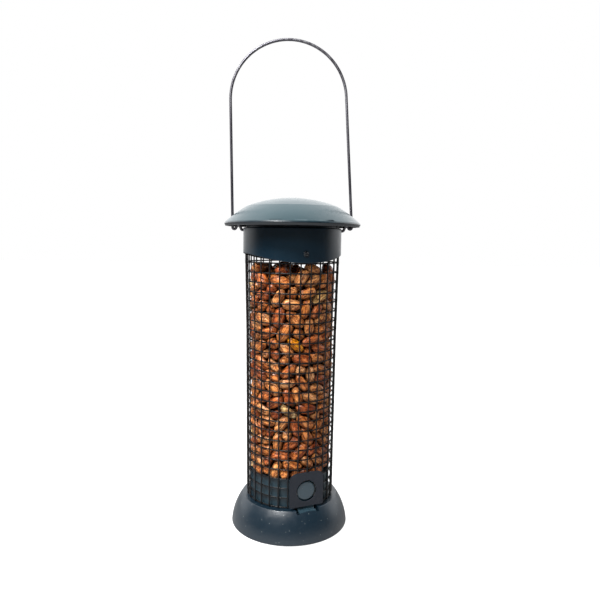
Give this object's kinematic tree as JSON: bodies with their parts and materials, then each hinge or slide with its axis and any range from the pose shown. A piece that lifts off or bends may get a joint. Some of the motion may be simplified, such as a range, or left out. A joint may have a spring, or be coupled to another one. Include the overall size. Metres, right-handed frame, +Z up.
{
  "type": "hanging bird feeder",
  "caption": "Hanging peanut feeder for garden birds: a welded mesh tube full of peanuts, with a domed lid, a wire bail and a bell-shaped base that a press catch releases.",
  "frame": {"origin": "underside of the bail's arch, straight above the tube's axis, where a hook carries the feeder", "axes": "+Z up along the tube, +X along the bail's pivot pins, -Y towards the front"},
  "size_m": [0.0978, 0.0978, 0.3501],
  "materials": {
    "bail_steel": "bright drawn wire, slightly streaked",
    "lid_paint": "glossy dark teal enamel",
    "collar_plastic": "matt moulded plastic",
    "dark_screw_steel": "blackened",
    "zinc_steel": "zinc plated",
    "mesh_coating": "black powder coat",
    "plate_coating": "dark grey powder coat",
    "base_plastic": "satin moulded plastic with fine specks",
    "catch_plastic": "satin moulded plastic",
    "peanuts": "skinned peanut kernels"
  },
  "bodies": {
    "bail": {"bail_wire": "bail_steel"},
    "lid": {"lid_dome": "lid_paint"},
    "tube": {"collar": "collar_plastic", "collar_screws": "dark_screw_steel", "collar_washers": "zinc_steel", "collar_nuts": "zinc_steel", "mesh_vertical_wires": "mesh_coating", "mesh_hoops": "mesh_coating", "latch_plate": "plate_coating"},
    "base": {"base_bell": "base_plastic", "base_plug": "base_plastic", "base_screws": "zinc_steel", "peanut_fill": "peanuts"},
    "catch": {"catch_tongue": "catch_plastic", "catch_button": "catch_plastic"}
  },
  "joints": [
    {"name": "lid_lift", "type": "slide", "parent": "bail", "child": "lid", "axis": [-0.0409, 0, 0.9992], "range_m": [0, 0.07]},
    {"name": "tube_swing", "type": "hinge", "parent": "bail", "child": "tube", "pos_m": [0, 0, -0.1313], "axis": [1, 0, 0], "range_deg": [-12, 12]},
    {"name": "base_release", "type": "slide", "parent": "tube", "child": "base", "axis": [0, 0, -1], "range_m": [0, 0.025]},
    {"name": "catch_press", "type": "hinge", "parent": "base", "child": "catch", "pos_m": [0.01336, -0.03224, -0.3292], "axis": [-0.9239, -0.3827, 0], "range_deg": [0, 9.5], "stiffness_Nm_per_rad": 0.5}
  ]
}
